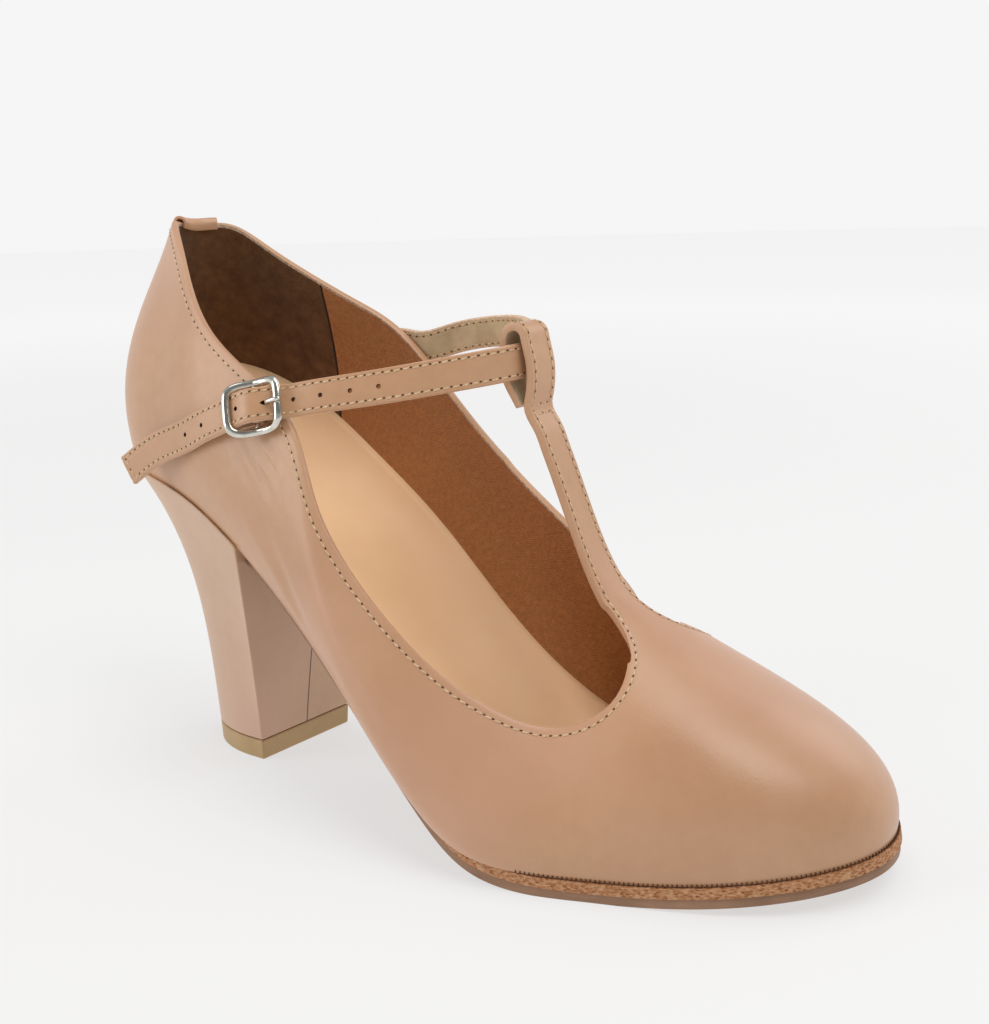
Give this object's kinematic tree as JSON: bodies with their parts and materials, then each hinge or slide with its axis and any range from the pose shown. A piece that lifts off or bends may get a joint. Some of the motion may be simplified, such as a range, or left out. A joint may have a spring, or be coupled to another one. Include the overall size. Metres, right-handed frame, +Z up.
{
  "type": "character shoe",
  "caption": "Closed leather stage shoe with a T-strap, a buckled ankle strap and a tall block heel, for the right foot.",
  "frame": {"origin": "middle of the top piece's underside, on the floor", "axes": "+X towards the toe, +Y towards the inner side of the foot, +Z up"},
  "size_m": [0.2123, 0.0818, 0.1417],
  "materials": {
    "upper_leather": "smooth tan leather with a soft sheen",
    "heel_leather": "smooth tan leather over the heel block",
    "insole_leather": "smooth peach sock leather",
    "raw_leather": "rough fibrous edge",
    "sole_leather": "smooth burnished sole leather",
    "top_plastic": "hard olive-brown plastic",
    "buckle_plate": "polished nickel plate"
  },
  "bodies": {
    "root": {"upper": "upper_leather", "heel_tab": "upper_leather", "ankle_strap": "upper_leather", "buckle_tab": "upper_leather", "buckle_frame": "buckle_plate", "buckle_prong": "buckle_plate", "insole": "insole_leather", "midsole": "raw_leather", "outsole": "sole_leather", "heel": "heel_leather", "top_piece": "top_plastic"}
  },
  "joints": []
}
